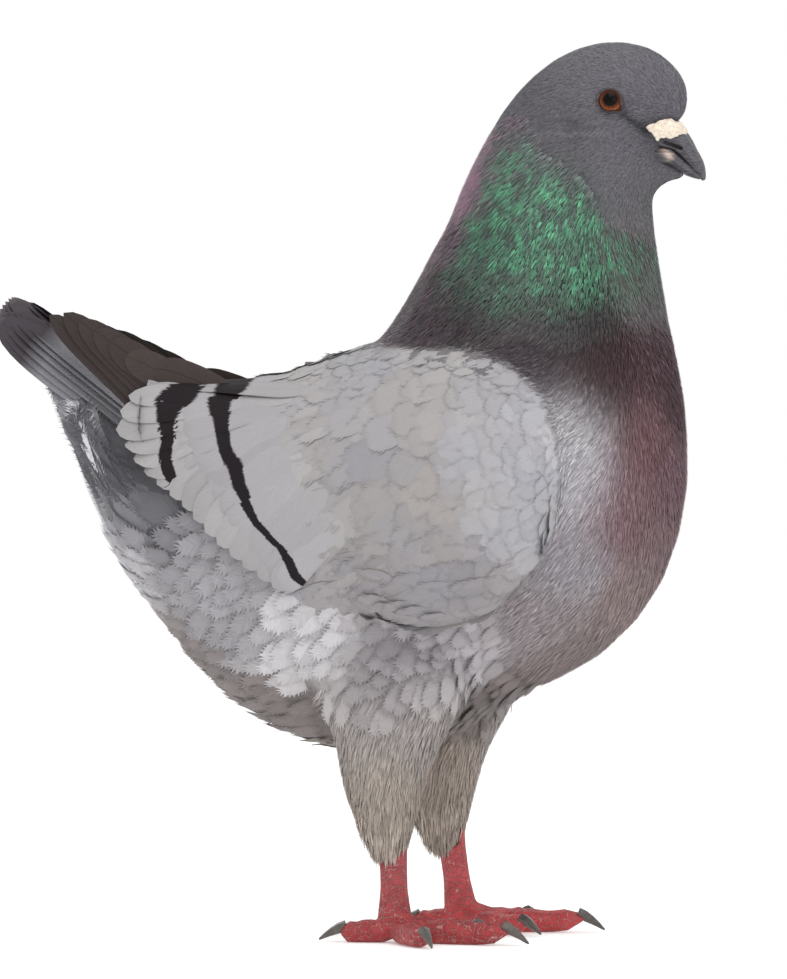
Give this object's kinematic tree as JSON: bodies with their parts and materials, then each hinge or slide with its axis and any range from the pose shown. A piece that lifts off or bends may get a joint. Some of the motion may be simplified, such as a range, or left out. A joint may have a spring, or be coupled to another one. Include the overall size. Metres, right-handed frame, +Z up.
{
  "type": "pigeon",
  "caption": "Still, life-size king pigeon standing on both feet, with light grey barred wings, a green-glossed neck and a raised tail.",
  "frame": {"origin": "on the floor, under the middle of the bird's box", "axes": "+X the way the bird faces, +Y its left side, +Z up"},
  "size_m": [0.2416, 0.1282, 0.297],
  "materials": {
    "body_plumage": "soft, matt feathering, maroon on the breast and light grey behind",
    "neck_plumage": "fine feathering with a green and purple gloss",
    "head_plumage": "short, close, matt slate-grey feathering",
    "wing_plumage": "smooth, matt, light silver-grey feathers with two black bars",
    "primary_feathers": "dark brown flight feathers, slightly silky",
    "tail_feathers": "blue-grey flight feathers with a black end band",
    "thigh_plumage": "fine, hair-like, beige-grey feathering",
    "leg_scales": "red scaly skin, slightly shiny",
    "claw_horn": "dark horn, satin",
    "bill": "dark grey horn, satin",
    "cere": "white, powdery, wrinkled skin",
    "eye": "clear, wet, orange-red iris and black pupil"
  },
  "bodies": {
    "root": {"trunk": "body_plumage", "neck": "neck_plumage", "head": "head_plumage", "upper_bill": "bill", "lower_bill": "bill", "cere": "cere", "tail": "tail_feathers", "eye_right": "eye", "wing_right": "wing_plumage", "primaries_right": "primary_feathers", "thigh_right": "thigh_plumage", "shank_right": "leg_scales", "foot_right": "leg_scales", "claw_hind_right": "claw_horn", "claw_inner_right": "claw_horn", "claw_middle_right": "claw_horn", "claw_outer_right": "claw_horn", "eye_left": "eye", "wing_left": "wing_plumage", "primaries_left": "primary_feathers", "thigh_left": "thigh_plumage", "shank_left": "leg_scales", "foot_left": "leg_scales", "claw_hind_left": "claw_horn", "claw_inner_left": "claw_horn", "claw_middle_left": "claw_horn", "claw_outer_left": "claw_horn"}
  },
  "joints": []
}
